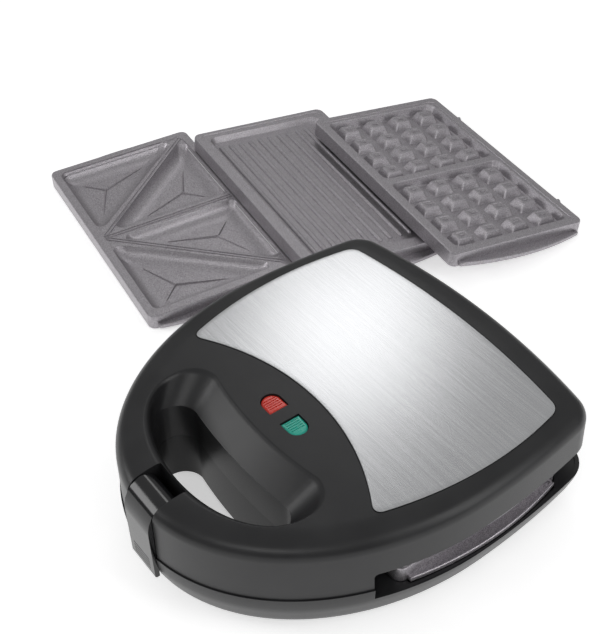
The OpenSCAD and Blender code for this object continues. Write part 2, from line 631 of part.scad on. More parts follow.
// Heating
module pan(l, w) difference() {
    slab(-l / 2, l / 2, -w / 2, w / 2, pan_floor_z, pan_top_z);
    slab(-l / 2 + pan_t, l / 2 - pan_t, -w / 2 + pan_t, w / 2 - pan_t, pan_floor_z + pan_t, big);
}
pan_in_l = plate_l - 10;
pan_in_w = plate_w - 6;
module lower_reflector() color("#b9bbbd") stand() pan(pan_in_l, pan_in_w);
module upper_reflector() color("#b9bbbd") stand() upper_twin() pan(pan_in_l, pan_in_w);
heater_r = 3.2;
heater_z = pan_top_z - heater_r;
heater_x = 66;
heater_y = 30;
module heater() {
    for (s = [-1, 1]) across(-heater_x - 14, heater_x, s * heater_y, heater_z, heater_r);
    translate([heater_x, 0, heater_z]) intersection() {
        rotate_extrude($fn = 64) translate([heater_y, 0]) circle(r = heater_r, $fn = 32);
        slab(0, big, -big, big, -big, big);
    }
}
module lower_heater() color("#6f6a66") stand() heater();
module upper_heater() color("#6f6a66") stand() upper_twin() heater();
clamp_w = 7;
module clamps() for (x = [-50, 40], s = [-1, 1]) difference() {
    slab(x - clamp_w / 2, x + clamp_w / 2, s * heater_y - 5.5, s * heater_y + 5.5, pan_floor_z + pan_t, heater_z);
    across(x - clamp_w, x + clamp_w, s * heater_y, heater_z, heater_r);
}
module lower_heater_clamps() color("#9a9c9e") stand() clamps();
module upper_heater_clamps() color("#9a9c9e") stand() upper_twin() clamps();
module thermostat() color("#e9e4da") stand() {
    upright(0, 0, pan_floor_z + pan_t, heater_z + 1, 8);
    slab(-13, 13, -4, 4, pan_floor_z + pan_t, pan_floor_z + pan_t + 2);
}
module thermal_fuse() color("#cfcac0") stand() across(-38, -20, 14, pan_floor_z + pan_t + 2.6, 2.6);
module terminal_block() color("#efece4") stand() difference() {
    slab(-20, 20, 68, 80, base_bottom_z + floor_t, base_bottom_z + floor_t + 12);
    for (i = [-1 : 1]) upright(i * 12, 74, base_bottom_z + floor_t + 4, base_bottom_z + floor_t + 13, 2.4);
}

// Cooking plates in the appliance
plate_at = [0, 0, plate_rim_z];
module lower_plate() color("#6c6970") stand() translate(plate_at) sandwich_plate();
module upper_plate() color("#6c6970") stand() upper_twin() translate(plate_at) sandwich_plate();
module lower_plate_studs() color("#8f9194") stand() translate(plate_at) studs(1);
module upper_plate_studs() color("#8f9194") stand() upper_twin() translate(plate_at) studs(1);

// Hinge, latch and small pieces
module hinge_pins() color("#c4c6c8") stand() both_sides() across(knuckle_x0 + 0.5, lug_x1 - 0.5, hinge_y, hinge_z, hinge_pin_r);
module latch_clip() color("#0f0f10") stand() difference() {
    union() {
        across(-clip_w / 2, clip_w / 2, latch_y, latch_z, clip_top_r);
        slab(-clip_w / 2, clip_w / 2, tongue_out, tongue_in, clip_foot_z, latch_z);
        slab(-clip_w / 2, clip_w / 2, tongue_out, latch_y, latch_z - 8, latch_z);
        slab(-clip_w / 2 + 3, clip_w / 2 - 3, tongue_out, tongue_in + 0.6, clip_foot_z, clip_foot_z + 3);
    }
    across(-clip_w, clip_w, latch_y, latch_z, latch_pin_r + pin_clear);
}
module latch_pin() color("#b9bbbd") stand() across(-notch_w - cheek_t + 0.4, notch_w + cheek_t - 0.4, latch_y, latch_z, latch_pin_r);
module cord_gland() color("#151516") stand() difference() {
    union() {
        translate([0, back_y - wall - 1, gland_z]) rotate([-90, 0, 0]) cylinder(r = gland_r, h = wall + 2, $fn = 48);
        translate([0, boss_y + flange_gap, gland_z]) rotate([-90, 0, 0]) cylinder(r = gland_r + 2, h = 2.2, $fn = 48);
    }
    translate([0, back_y - 10, gland_z]) rotate([-90, 0, 0]) cylinder(r = 3.2, h = 30, $fn = 48);
}
module rubber_feet() color("#111112") stand() foot_spots() {
    upright(0, 0, 0, base_bottom_z, foot_r);
    upright(0, 0, base_bottom_z - cut, base_bottom_z + foot_seat, foot_r - 1);
}
screw_head_r = 2.6;
screw_head_t = 1.6;
module screw_heads() for (x = [-post_x, post_x], y = [-post_y, post_y])
    upright(x, y, pan_floor_z + pan_t, pan_floor_z + pan_t + screw_head_t, screw_head_r);
module base_screws() color("#a9abad") stand() screw_heads();
module lid_screws() color("#a9abad") stand() upper_twin() screw_heads();

// Loose plates
module spare_sandwich_plate() color("#77737a") lay(sandwich_c, 0) sandwich_plate();
module spare_sandwich_studs() color("#8f9194") lay(sandwich_c, 0) studs(1);
module spare_grill_plate() color("#77737a") lay(grill_c, grill_tilt) grill_plate();
module spare_grill_studs() color("#8f9194") lay(grill_c, grill_tilt) studs(1);
module spare_waffle_plate() color("#77737a") lay(waffle_c, waffle_tilt) waffle_plate();
module spare_waffle_studs() color("#8f9194") lay(waffle_c, waffle_tilt) studs(1);

base_housing();
lid_housing();
top_panel();
lower_handle_cover();
upper_handle_cover();
lower_reflector();
upper_reflector();
lower_heater();
upper_heater();
lower_heater_clamps();
upper_heater_clamps();
lower_plate();
upper_plate();
lower_plate_studs();
upper_plate_studs();
lower_release_slide();
upper_release_slide();
hinge_pins();
latch_clip();
latch_pin();
red_lens();
green_lens();
indicator_lamps();
lamp_holder();
thermostat();
thermal_fuse();
terminal_block();
cord_gland();
rubber_feet();
base_screws();
lid_screws();
spare_sandwich_plate();
spare_sandwich_studs();
spare_grill_plate();
spare_grill_studs();
spare_waffle_plate();
spare_waffle_studs();
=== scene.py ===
"""Dresses the breakfast sandwich maker: smooth housings, brushed panel, coated plates and studio light."""
import math

import bmesh
import bpy
import numpy as np
from mathutils import Matrix, Vector


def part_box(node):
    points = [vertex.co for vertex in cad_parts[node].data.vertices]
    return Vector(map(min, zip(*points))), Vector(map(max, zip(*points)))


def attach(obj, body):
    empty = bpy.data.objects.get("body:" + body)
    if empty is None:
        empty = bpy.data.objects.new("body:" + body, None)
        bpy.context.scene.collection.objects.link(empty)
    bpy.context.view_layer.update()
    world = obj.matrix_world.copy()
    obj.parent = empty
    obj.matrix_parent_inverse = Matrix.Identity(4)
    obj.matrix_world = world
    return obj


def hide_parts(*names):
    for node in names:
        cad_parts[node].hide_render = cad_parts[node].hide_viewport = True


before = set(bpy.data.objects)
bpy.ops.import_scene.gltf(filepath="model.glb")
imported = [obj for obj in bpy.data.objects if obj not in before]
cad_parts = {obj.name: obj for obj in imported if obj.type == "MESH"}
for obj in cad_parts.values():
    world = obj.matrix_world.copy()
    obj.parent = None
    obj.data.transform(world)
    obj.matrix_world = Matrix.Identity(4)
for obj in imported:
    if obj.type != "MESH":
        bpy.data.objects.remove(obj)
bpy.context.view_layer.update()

MM = 0.001

# The appliance's own origin in the shared frame, found from two CAD nodes
panel_lo, panel_hi = (Vector(corner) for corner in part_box("top_panel"))
pin_lo, pin_hi = (Vector(corner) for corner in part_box("hinge_pins"))
HINGE_Y = 90.0
BENCH = Vector(((panel_lo.x + panel_hi.x) / 2 / MM, (pin_lo.y + pin_hi.y) / 2 / MM - HINGE_Y, 0))

# Sizes of the CAD part, in millimetres in the appliance's own frame
WALL = 3.0
BASE_Z, BASE_EDGE, PARTING, LID_BOTTOM, LID_EDGE, LID_TOP = 6.0, 29.0, 37.0, 37.3, 50.0, 78.4
SHOULDER = 9.0
FLARE = 1.5
GAP_Y = -79.0
NOSE_Y = -162.5
HOLE_FRONT = -136.0
SLOT_BACK = NOSE_Y + 24
SCOOP_DEPTH = 15.0
SEAT_DEPTH = 2.2
LOWER_COVER_TOP, LOWER_COVER_INSET, LOWER_COVER_BACK = 8.0, 14.5, -104.0
UPPER_COVER_BACK = -102.2
SLIDE_HALF, SLIDE_FRONT = 13.4, -89.4
PANEL_Z = LID_TOP - 0.7
PANEL_TOP = LID_TOP + 0.5
PANEL_GAP = 0.55
PLATE_L, PLATE_W, PLATE_D, PLATE_R = 211.0, 124.0, 12.5, 6.0
PLATE_RIM = 39.2
MIRROR_Z = 39.5
PLATE_GAP = 0.6
STUD_X, STUD_HALF, STUD_Y0, STUD_Y1 = 70.0, 3.2, 55.0, 67.4
NOTCH = 13.2
LENS_X, LENS_Y, LENS_W, LENS_D = 11.0, -62.0, 12.0, 13.0
LENS_DEPTH, LENS_SEAT, LENS_GAP = 6.0, 7.4, 0.35
LATCH_Y, LATCH_Z, LATCH_PIN_R = -151.5, 67.9, 2.05
CLIP_HALF, CLIP_FOOT = 12.7, 20.0
PIN_Z, PIN_R = 38.0, 2.5
KNUCKLE_R = 7.0
KNUCKLE_X0, KNUCKLE_X1 = 41.0, 51.6
ARM_Y0, ARM_Y1 = 86.0, 93.6
LUG_X0, LUG_X1 = 52.0, 60.0
LUG_Y0, LUG_Y1, LUG_Z = 83.0, 93.0, 22.0
FEET = ((80, -62), (-80, -62), (84, 60), (-84, 60))
FOOT_R, FOOT_SEAT = 8.0, 7.5
GLAND_Z, GLAND_R = 17.0, 6.0
BOSS_X, BOSS_Y, BOSS_Z = 11.0, 87.0, 8.2

# How far cutting tools reach, to the sides and upwards
FAR, ABOVE = 200.0, 90.0


# Materials
EVEN = (1, 1, 1)
ALONG_X = (0.012, 1, 1)


def noise(tree, stretch, scale, detail):
    """A noise texture in the object's own metres."""
    coords = tree.nodes.new("ShaderNodeTexCoord")
    mapping = tree.nodes.new("ShaderNodeMapping")
    mapping.inputs["Scale"].default_value = stretch
    texture = tree.nodes.new("ShaderNodeTexNoise")
    texture.inputs["Scale"].default_value = scale
    texture.inputs["Detail"].default_value = detail
    tree.links.new(coords.outputs["Object"], mapping.inputs["Vector"])
    tree.links.new(mapping.outputs["Vector"], texture.inputs["Vector"])
    return texture


def surface(name, fine, distance, broad=None):
    """A node group that bumps the Normal with a fine noise, and gives that or a broad one as Value."""
    tree = bpy.data.node_groups.new(name, "ShaderNodeTree")
    tree.interface.new_socket("Strength", in_out="INPUT", socket_type="NodeSocketFloat")
    tree.interface.new_socket("Value", in_out="OUTPUT", socket_type="NodeSocketFloat")
    tree.interface.new_socket("Normal", in_out="OUTPUT", socket_type="NodeSocketVector")
    group_in, group_out = tree.nodes.new("NodeGroupInput"), tree.nodes.new("NodeGroupOutput")
    texture = noise(tree, *fine)
    bump = tree.nodes.new("ShaderNodeBump")
    bump.inputs["Distance"].default_value = distance
    tree.links.new(group_in.outputs["Strength"], bump.inputs["Strength"])
    tree.links.new(texture.outputs["Fac"], bump.inputs["Height"])
    value = noise(tree, *broad) if broad else texture
    tree.links.new(value.outputs["Fac"], group_out.inputs["Value"])
    tree.links.new(bump.outputs["Normal"], group_out.inputs["Normal"])
    return tree


GRAIN = surface("Grain", (EVEN, 1900, 3.0), 0.0002, (EVEN, 28, 2.0))
BRUSHING = surface("Brushing", (ALONG_X, 1500, 4.0), 0.0001)
SPECKLE = surface("Speckle", (EVEN, 2100, 2.0), 0.00025)


def material(name, tree, strength, dark, light, low=0.35, high=0.65, *, rough, **sockets):
    """A shader whose colour and roughness follow one of the surface effects."""
    mat = bpy.data.materials.new(name)
    mat.use_nodes = True
    nodes, links = mat.node_tree.nodes, mat.node_tree.links
    shader = nodes["Principled BSDF"]
    effect = nodes.new("ShaderNodeGroup")
    effect.node_tree = tree
    effect.inputs["Strength"].default_value = strength
    ramp = nodes.new("ShaderNodeValToRGB")
    ramp.color_ramp.elements[0].position = low
    ramp.color_ramp.elements[0].color = (*dark, 1)
    ramp.color_ramp.elements[1].position = high
    ramp.color_ramp.elements[1].color = (*light, 1)
    links.new(effect.outputs["Value"], ramp.inputs["Fac"])
    links.new(ramp.outputs["Color"], shader.inputs["Base Color"])
    links.new(effect.outputs["Normal"], shader.inputs["Normal"])
    spread = nodes.new("ShaderNodeMapRange")
    spread.inputs["To Min"].default_value = rough[0]
    spread.inputs["To Max"].default_value = rough[1]
    links.new(effect.outputs["Value"], spread.inputs["Value"])
    links.new(spread.outputs["Result"], shader.inputs["Roughness"])
    for label, value in sockets.items():
        shader.inputs[label.replace("_", " ")].default_value = value
    return mat


BLACK = material("BodyPlastic", GRAIN, 0.22, (0.012, 0.012, 0.013), (0.019, 0.019, 0.02),
                 rough=(0.3, 0.42), Specular_IOR_Level=0.4)
COVER = material("CoverPlastic", GRAIN, 0.5, (0.009, 0.009, 0.01), (0.014, 0.014, 0.015), rough=(0.45, 0.6))
GLOSS = material("ClipPlastic", GRAIN, 0.05, (0.006, 0.006, 0.007), (0.009, 0.009, 0.01), rough=(0.1, 0.16))
STEEL = material("PanelSteel", BRUSHING, 0.12, (0.5, 0.505, 0.515), (0.57, 0.575, 0.585), rough=(0.22, 0.28),
                 Metallic=1.0, Anisotropic=0.5)
COATING = material("PlateCoating", SPECKLE, 0.55, (0.23, 0.216, 0.232), (0.54, 0.515, 0.545), 0.36, 0.64,
                   rough=(0.26, 0.42), Metallic=0.7)
PLAIN_STEEL = material("PlainSteel", BRUSHING, 0.15, (0.42, 0.42, 0.43), (0.58, 0.58, 0.59),
                       rough=(0.25, 0.4), Metallic=1.0)
SHEET = material("ReflectorSheet", GRAIN, 0.2, (0.6, 0.61, 0.62), (0.72, 0.73, 0.74),
                 rough=(0.3, 0.45), Metallic=1.0)
SHEATH = material("HeaterSheath", GRAIN, 0.6, (0.09, 0.075, 0.065), (0.2, 0.17, 0.15),
                  rough=(0.5, 0.7), Metallic=0.6)
CERAMIC = material("Ceramic", GRAIN, 0.4, (0.62, 0.59, 0.53), (0.74, 0.71, 0.65), rough=(0.55, 0.75))
RUBBER = material("FootRubber", GRAIN, 0.8, (0.01, 0.01, 0.01), (0.02, 0.02, 0.02), rough=(0.7, 0.85))
RED = material("RedLens", GRAIN, 0.05, (0.5, 0.02, 0.01), (0.62, 0.035, 0.018), rough=(0.08, 0.16), IOR=1.49)
GREEN = material("GreenLens", GRAIN, 0.05, (0.01, 0.3, 0.22), (0.015, 0.4, 0.3),
                 rough=(0.08, 0.16), IOR=1.49)
LAMP = material("LampGlass", GRAIN, 0.05, (0.6, 0.3, 0.18), (0.75, 0.4, 0.25), rough=(0.08, 0.14))
FLOOR = material("Floor", GRAIN, 0.05, (0.9, 0.9, 0.9), (0.93, 0.93, 0.93), rough=(0.7, 0.8))


def brush_highlights(mat):
    """Draws the steel's highlights out across its brushing."""
    tree = mat.node_tree
    tangent = tree.nodes.new("ShaderNodeTangent")
    tangent.direction_type = "RADIAL"
    tangent.axis = "X"
    tree.links.new(tangent.outputs["Tangent"], tree.nodes["Principled BSDF"].inputs["Tangent"])


def lift_floor(strength):
    """Lets the camera, metal and glass see a paler floor that gives no more light."""
    nodes, links = FLOOR.node_tree.nodes, FLOOR.node_tree.links
    shader = nodes["Principled BSDF"]
    path = nodes.new("ShaderNodeLightPath")
    seen = path.outputs["Is Camera Ray"]
    for ray in ("Is Glossy Ray", "Is Transmission Ray"):
        either = nodes.new("ShaderNodeMath")
        either.operation = "MAXIMUM"
        links.new(seen, either.inputs[0])
        links.new(path.outputs[ray], either.inputs[1])
        seen = either.outputs["Value"]
    lift = nodes.new("ShaderNodeMath")
    lift.operation = "MULTIPLY"
    lift.inputs[1].default_value = strength
    links.new(seen, lift.inputs[0])
    shader.inputs["Emission Color"].default_value = (1, 1, 1, 1)
    links.new(lift.outputs["Value"], shader.inputs["Emission Strength"])


brush_highlights(STEEL)
lift_floor(0.5)

# The CAD nodes that stay, by the look they get
CAD_LOOKS = {
    COVER: ["lower_handle_cover", "upper_handle_cover", "lower_release_slide", "upper_release_slide"],
    SHEET: ["lower_reflector", "upper_reflector"],
    SHEATH: ["lower_heater", "upper_heater"],
    PLAIN_STEEL: ["lower_heater_clamps", "upper_heater_clamps", "hinge_pins", "latch_pin", "base_screws",
                  "lid_screws", "lower_plate_studs", "upper_plate_studs", "spare_sandwich_studs",
                  "spare_grill_studs", "spare_waffle_studs"],
    CERAMIC: ["thermostat", "thermal_fuse", "terminal_block", "lamp_holder"],
    LAMP: ["indicator_lamps"],
    RUBBER: ["rubber_feet", "cord_gland"],
}
for look, names in CAD_LOOKS.items():
    for name in names:
        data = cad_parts[name].data
        data.materials.clear()
        data.materials.append(look)


# Mesh tools
def new_object(name, verts, faces):
    """Makes an object from appliance-frame millimetres."""
    mesh = bpy.data.meshes.new(name)
    mesh.from_pydata([tuple((Vector(v) + BENCH) * MM) for v in verts], [], faces)
    obj = bpy.data.objects.new(name, mesh)
    bpy.context.scene.collection.objects.link(obj)
    bm = bmesh.new()
    bm.from_mesh(mesh)
    bmesh.ops.recalc_face_normals(bm, faces=bm.faces)
    bm.to_mesh(mesh)
    bm.free()
    return obj


def loft(name, rings):
    """A closed skin through rings of equally many 3-D points."""
    n = len(rings[0])
    verts = [p for ring in rings for p in ring]
    faces = [(k * n + i, k * n + (i + 1) % n, (k + 1) * n + (i + 1) % n, (k + 1) * n + i)
             for k in range(len(rings) - 1) for i in range(n)]
    faces += [tuple(reversed(range(n))), tuple((len(rings) - 1) * n + i for i in range(n))]
    return new_object(name, verts, faces)


def at(ring, z):
    """A plan ring at one height."""
    return [(p[0], p[1], z) for p in ring]


def prism(name, ring, z0, z1):
    """A plan ring pushed up from z0 to z1."""
    return loft(name, [at(ring, z0), at(ring, z1)])


def box(name, x0, x1, y0, y1, z0, z1):
    """A box from its limits along each axis."""
    return prism(name, [(x0, y0), (x1, y0), (x1, y1), (x0, y1)], z0, z1)


def sideways(name, profile, x0, x1):
    """A (y, z) profile pushed along X."""
    return loft(name, [[(x0, y, z) for y, z in profile], [(x1, y, z) for y, z in profile]])


def circle(r):
    """Points round the origin."""
    n = 40
    return [(r * math.cos(2 * math.pi * i / n), r * math.sin(2 * math.pi * i / n)) for i in range(n)]


def rod(name, x0, x1, y, z, r):
    """A cylinder along X."""
    return sideways(name, [(y + a, z + b) for a, b in circle(r)], x0, x1)


def both_sides(x0, x1):
    """A range of x on the left and on the right."""
    return (-x1, -x0), (x0, x1)


def joined(name, objs):
    """One object out of several, whose skins aren't merged."""
    bm = bmesh.new()
    for obj in objs:
        bm.from_mesh(obj.data)
        bpy.data.objects.remove(obj)
    mesh = bpy.data.meshes.new(name)
    bm.to_mesh(mesh)
    bm.free()
    result = bpy.data.objects.new(name, mesh)
    bpy.context.scene.collection.objects.link(result)
    return result


def carve(obj, tools, operation="DIFFERENCE"):
    """Applies exact booleans one tool after another."""
    for tool in tools:
        mod = obj.modifiers.new("carve", "BOOLEAN")
        mod.object = tool
        mod.operation = operation
        mod.solver = "EXACT"
        depsgraph = bpy.context.evaluated_depsgraph_get()
        mesh = bpy.data.meshes.new_from_object(obj.evaluated_get(depsgraph))
        obj.modifiers.clear()
        obj.data = mesh
        bpy.data.objects.remove(tool)
    return obj


def clean(obj):
    """Merges the near-doubles that booleans leave behind."""
    distance = 0.02 * MM
    bm = bmesh.new()
    bm.from_mesh(obj.data)
    bmesh.ops.remove_doubles(bm, verts=bm.verts, dist=distance)
    bmesh.ops.dissolve_degenerate(bm, edges=bm.edges, dist=distance)
    bmesh.ops.recalc_face_normals(bm, faces=bm.faces)
    bm.to_mesh(obj.data)
    bm.free()
    return obj


def dress(obj, mat, body, replaced, bevel, angle=34, segments=2):
    """Bevels and smooths a piece, puts it under its body and hides the CAD nodes it replaces."""
    obj.data.materials.clear()
    obj.data.materials.append(mat)
    for polygon in obj.data.polygons:
        polygon.material_index = 0
    if bevel:
        mod = obj.modifiers.new("edges", "BEVEL")
        mod.width = bevel * MM
        mod.segments = segments
        mod.limit_method = "ANGLE"
        mod.angle_limit = math.radians(angle)
        depsgraph = bpy.context.evaluated_depsgraph_get()
        mesh = bpy.data.meshes.new_from_object(obj.evaluated_get(depsgraph))
        obj.modifiers.clear()
        obj.data = mesh
    obj.data.shade_smooth()
    obj.data.set_sharp_from_angle(angle=math.radians(32))
    normals = obj.modifiers.new("normals", "WEIGHTED_NORMAL")
    normals.keep_sharp = True
    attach(obj, body)
    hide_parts(*replaced)


# Plan outlines
def arc(c, rx, ry, a0, a1, n):
    """Points from angle a0 up to, but without, a1, in degrees."""
    return [(c[0] + rx * math.cos(math.radians(a0 + (a1 - a0) * i / n)),
             c[1] + ry * math.sin(math.radians(a0 + (a1 - a0) * i / n))) for i in range(n)]


HALF_W, WIDEST_Y, NOSE_LEN, BACK_Y, SIDE_R, BACK_R, CORNER_R = 116.5, -10.0, 152.5, 96.0, 500.0, 463.0, 20.0


def circles_meet(c1, r1, c2, r2):
    """The point left of the line from c1 to c2 where two circles cross."""
    v = Vector(c2) - Vector(c1)
    a = (v.length ** 2 + r1 * r1 - r2 * r2) / (2 * v.length)
    h = math.sqrt(r1 * r1 - a * a)
    u = v.normalized()
    return Vector(c1) + u * a + Vector((-u.y, u.x)) * h


SIDE_C = (HALF_W - SIDE_R, WIDEST_Y)
BACK_C = (0.0, BACK_Y - BACK_R)
CORNER_C = circles_meet(SIDE_C, SIDE_R - CORNER_R, BACK_C, BACK_R - CORNER_R)
CORNER_A0 = math.degrees(math.atan2(CORNER_C[1] - SIDE_C[1], CORNER_C[0] - SIDE_C[0]))
CORNER_A1 = math.degrees(math.atan2(CORNER_C[1] - BACK_C[1], CORNER_C[0] - BACK_C[0]))


def outline(d):
    """The body's plan outline, inset by d."""
    right = (arc(SIDE_C, SIDE_R - d, SIDE_R - d, 0, CORNER_A0, 14)
             + arc(CORNER_C, CORNER_R - d, CORNER_R - d, CORNER_A0, CORNER_A1, 16)
             + arc(BACK_C, BACK_R - d, BACK_R - d, CORNER_A1, 90, 14))
    left = [(-x, y) for x, y in reversed(right[1:])]
    return arc((0, WIDEST_Y), HALF_W - d, NOSE_LEN - d, 180, 360, 100) + right + [(0, BACK_Y - d)] + left


def opening(share, over=0.0, front=0.0):
    """The handle's opening between its foot, share 0, and the top of the scoop, share 1."""
    half = 60 + 7.5 * share + over
    widest_y = -110 + 13 * share
    back_y = -95 + 18 * share + over
    corner = 14 + 4 * share
    sag = 3 + 2 * share
    x = half - corner
    shares = [1 - i / 14 for i in range(28)]
    back = [(x * along, back_y - sag * (1 - along ** 2)) for along in shares]
    return (arc((0, widest_y), half, widest_y - HOLE_FRONT + front, 180, 360, 64)
            + arc((x, back_y - corner), corner, corner, 0, 90, 12)
            + back + arc((-x, back_y - corner), corner, corner, 90, 180, 12))


def inset(ring, d):
    """A closed ring moved inwards along its own normals."""
    points = np.array(ring)
    tangent = np.roll(points, -1, axis=0) - np.roll(points, 1, axis=0)
    tangent /= np.linalg.norm(tangent, axis=1)[:, None]
    normal = np.stack([-tangent[:, 1], tangent[:, 0]], axis=1)
    return [tuple(p) for p in points + normal * d]


def rounded_rect(l, w, r, n=8):
    """A rectangle about the origin with n steps round each corner."""
    x, y = l / 2 - r, w / 2 - r
    return (arc((x, y), r, r, 0, 90, n) + [(x, y + r)]
            + arc((-x, y), r, r, 90, 180, n) + [(-x - r, y)]
            + arc((-x, -y), r, r, 180, 270, n) + [(-x, -y - r)]
            + arc((x, -y), r, r, 270, 360, n) + [(x + r, -y)])


EAR_REACH, EAR_DROP, EAR_T, EAR_END = 10.0, 8.0, 2.0, 3.0


def ear_ring(grow):
    """The crescent that a plate shows beyond its end, at +X."""
    half = PLATE_W / 2 - PLATE_R + grow
    bulge = EAR_REACH - EAR_END
    r = (half * half + bulge * bulge) / (2 * bulge)
    x0 = PLATE_L / 2
    root = x0 - 1.5
    cx = x0 + EAR_END + grow + bulge - r
    a = math.asin(half / r)
    curve = [(cx + r * math.cos(w), r * math.sin(w)) for w in np.linspace(-a, a, 29)]
    return [(root, -half), (x0, -half)] + curve + [(x0, half), (root, half)]


def flipped(ring):
    """A ring mirrored in x, still running the same way round."""
    return [(-x, y) for x, y in reversed(ring)]


def rises(z0, z1, d0, d1, steps, start, stop):
    """Pairs of inset and height round a quarter circle."""
    out = []
    for i in range(steps + 1):
        a = math.radians(start + (stop - start) * i / steps)
        out.append((d0 + (d1 - d0) * (1 - math.cos(a)), z0 + (z1 - z0) * math.sin(a)))
    return out


# Cutting tools for both housings
def window_tools(z0, z1, ear_z0, ear_z1):
    """Room for an installed plate with its ears and studs."""
    ring = rounded_rect(PLATE_L + 2 * PLATE_GAP, PLATE_W + 2 * PLATE_GAP, PLATE_R)
    ear = ear_ring(PLATE_GAP)
    tools = [prism("window", ring, z0, z1)]
    tools += [prism("ear", end, ear_z0, ear_z1) for end in (ear, flipped(ear))]
    tools += [box("stud", x - STUD_HALF, x + STUD_HALF, STUD_Y0, STUD_Y1, ear_z0, ear_z1)
              for x in (-STUD_X, STUD_X)]
    return tools


def handle_recess(z0, z1, inner, back_y):
    """What a handle cover fills: a ring between the outline and the opening, broken at the latch."""
    tool = prism("recess", outline(inner), z0, z1)
    middle = NOTCH + 4
    carve(tool, [box("back", -FAR, FAR, back_y, FAR, z0 - 1, z1 + 1),
                 prism("loop", opening(0, WALL), z0 - 1, z1 + 1),
                 box("middle", -middle, middle, -FAR, SLOT_BACK + WALL, z0 - 1, z1 + 1)])
    return tool


# Lid
def scoop_tool():
    """The opening through the lid, which widens into the scoop and is rounded at its upper edge."""
    foot, top = LID_TOP - SCOOP_DEPTH, LID_TOP - 0.5
    lip_r, front_r = 1.8, 6.5
    rings = [at(opening(0, -0.5), -2), at(opening(0), foot - 0.4), at(opening(0), foot)]
    levels = [foot + 0.6 + (top - 2.2 - foot) * i / 14 for i in range(15)]
    levels += [LID_TOP - 1.5, LID_TOP - 1.0, LID_TOP - 0.6, LID_TOP - 0.25, LID_TOP + 0.02]
    for z in levels:
        share = min(1.0, (z - foot) / (top - foot))
        lip = max(0.0, z - LID_TOP + lip_r) / (lip_r + 0.03)
        over = lip_r * (1 - math.sqrt(max(0.0, 1 - lip * lip)))
        rise = max(0.0, z - (LID_TOP - front_r)) / (front_r + 0.05)
        front = front_r * (1 - math.sqrt(max(0.0, 1 - rise * rise)))
        rings.append(at(opening(share, over, front), z))
    rings.append(at(opening(1, 2.4, front_r + 1), LID_TOP + 5))
    return loft("scoop", rings)


def panel_ring():
    """The steel panel's outline, with its hollow front edge and rounded corners."""
    side_r, back_r, front_r = 240.0, 520.0, 155.0
    side_c = (102.0 - side_r, 9.0)
    back_c = (0.0, 74.6 - back_r)
    front_c = (0.0, -40.0 - front_r)
    corner_reach = 5.5

    def side_x(y):
        return side_c[0] + math.sqrt(side_r ** 2 - (y - side_c[1]) ** 2)

    def end_y(c, r, x):
        return c[1] + math.sqrt(r ** 2 - x * x)

    def meeting(c, r, lo, hi):
        return min((abs(math.hypot(side_x(y), y - c[1]) - r), y) for y in np.linspace(lo, hi, 1201))[1]

    y0 = meeting(front_c, front_r, -72, -60)
    y1 = meeting(back_c, back_r, 60, 72)
    side = [(side_x(y), y) for y in np.linspace(y0, y1, 61)]
    back = [(x, end_y(back_c, back_r, x)) for x in np.linspace(side[-1][0], -side[-1][0], 61)]
    front = [(x, end_y(front_c, front_r, x)) for x in np.linspace(-side[0][0], side[0][0], 81)]
    runs = [side, back, [(-x, y) for x, y in reversed(side)], front]
    ring = []
    for run, following in zip(runs, runs[1:] + runs[:1]):
        start, corner = Vector(run[0]), Vector(run[-1])
        kept = [p for p in run
                if min((Vector(p) - corner).length, (Vector(p) - start).length) > corner_reach]
        ring += kept
        a = Vector(kept[-1])
        b = next(Vector(p) for p in following if (Vector(p) - corner).length > corner_reach)
        ring += [tuple(a * (1 - t) ** 2 + corner * 2 * t * (1 - t) + b * t * t)
                 for t in np.linspace(0.1, 0.9, 9)]
    return ring


PANEL = panel_ring()


def lens_ring(side, grow=0.0):
    """A lens with a flat end towards the middle and a rounded end outwards."""
    r = LENS_D / 2 + grow
    flat_x, round_x = -LENS_W / 2 - grow, LENS_W / 2 - LENS_D / 2 + 2
    bow = [(round_x + r * math.cos(math.radians(a)), r * math.sin(math.radians(a)))
           for a in np.linspace(-90, 90, 28)]
    points = [(flat_x, -r)] + bow + [(flat_x, r)]
    if side < 0:
        points = flipped(points)
    return [(x + side * LENS_X, y + LENS_Y) for x, y in points]


